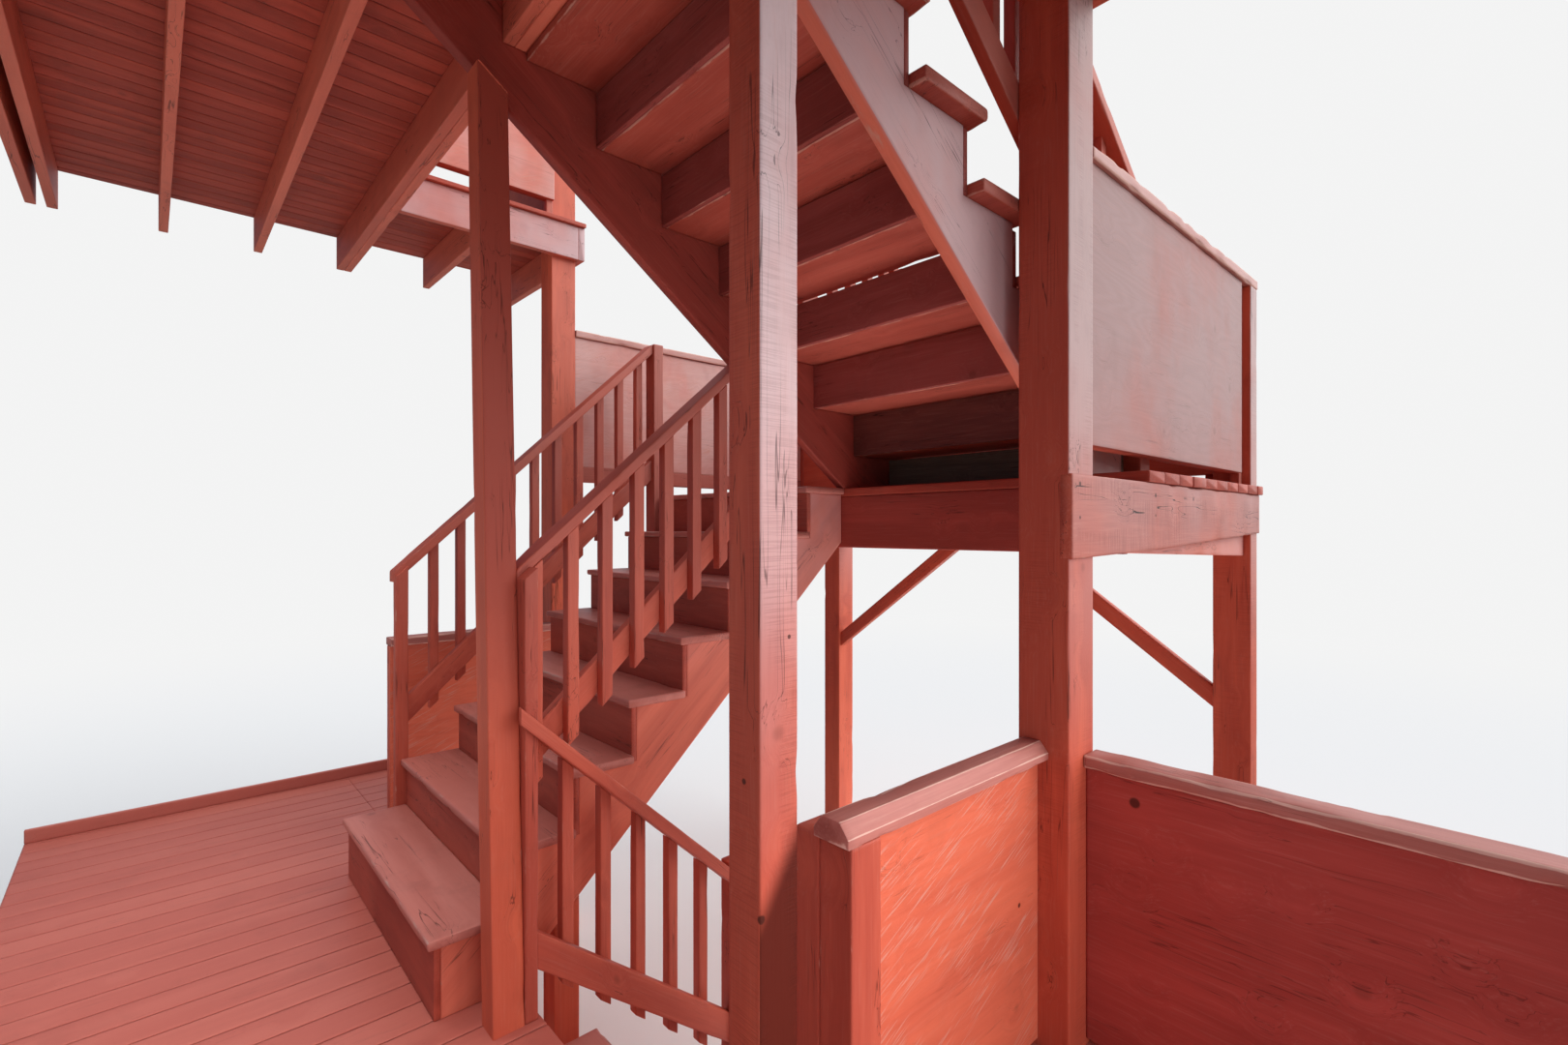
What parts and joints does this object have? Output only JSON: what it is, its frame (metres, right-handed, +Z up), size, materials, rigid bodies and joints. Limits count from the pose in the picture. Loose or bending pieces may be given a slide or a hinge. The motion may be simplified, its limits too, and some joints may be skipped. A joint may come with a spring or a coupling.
{
  "type": "timber porch fire escape stair",
  "caption": "Rear porch fire escape stair: painted timber decks on posts joined by cut string flights, a landing, baluster railings and plywood guards.",
  "frame": {"origin": "middle of the plan at ground level, under the stairwell", "axes": "+X out from the house towards the yard, along the flights; +Y along the decks towards the side wall; +Z up"},
  "size_m": [4.116, 6.11, 4.9259],
  "materials": {
    "painted_posts": "brick red paint over checked softwood",
    "painted_frame": "brick red paint over rough sawn softwood",
    "painted_floor": "dusty brick red deck paint on tongued boards",
    "painted_treads": "brick red deck paint, worn paler on the nosings",
    "painted_rails": "brick red paint, satin",
    "painted_plywood": "brick red paint over plywood with raised grain"
  },
  "bodies": {
    "root": {"stair_posts": "painted_posts", "deck_posts": "painted_posts", "landing_posts": "painted_posts", "wall_walk_post": "painted_posts", "landing_braces": "painted_posts", "lower_joists": "painted_frame", "lower_beams": "painted_frame", "lower_rims": "painted_frame", "upper_joists": "painted_frame", "upper_beams": "painted_frame", "upper_rims": "painted_frame", "ground_flight_carriage": "painted_frame", "lower_flight_carriage": "painted_frame", "upper_flight_carriage": "painted_frame", "landing_joists": "painted_frame", "landing_beam_inner": "painted_frame", "landing_beam_near": "painted_frame", "landing_beam_outer": "painted_frame", "landing_beam_far": "painted_frame", "lower_floor_main": "painted_floor", "lower_floor_side": "painted_floor", "lower_floor_wall_walk": "painted_floor", "upper_floor_main": "painted_floor", "upper_floor_side": "painted_floor", "upper_floor_wall_walk": "painted_floor", "landing_floor": "painted_floor", "ground_flight_treads": "painted_treads", "lower_flight_treads": "painted_treads", "upper_flight_treads": "painted_treads", "ground_flight_railing": "painted_rails", "lower_flight_railing_near": "painted_rails", "lower_flight_railing_far": "painted_rails", "upper_flight_railing_near": "painted_rails", "upper_flight_railing_far": "painted_rails", "lower_guard_front": "painted_plywood", "lower_guard_side": "painted_plywood", "lower_guard_end": "painted_plywood", "lower_guard_wall_walk": "painted_plywood", "lower_guard_walk_end": "painted_plywood", "landing_guard_near": "painted_plywood", "landing_guard_outer": "painted_plywood", "landing_guard_far": "painted_plywood", "upper_guard_front": "painted_plywood", "upper_guard_side": "painted_plywood", "upper_guard_end": "painted_plywood", "upper_guard_wall_walk": "painted_plywood", "upper_guard_walk_end": "painted_plywood", "upper_guard_well": "painted_plywood"}
  },
  "joints": []
}
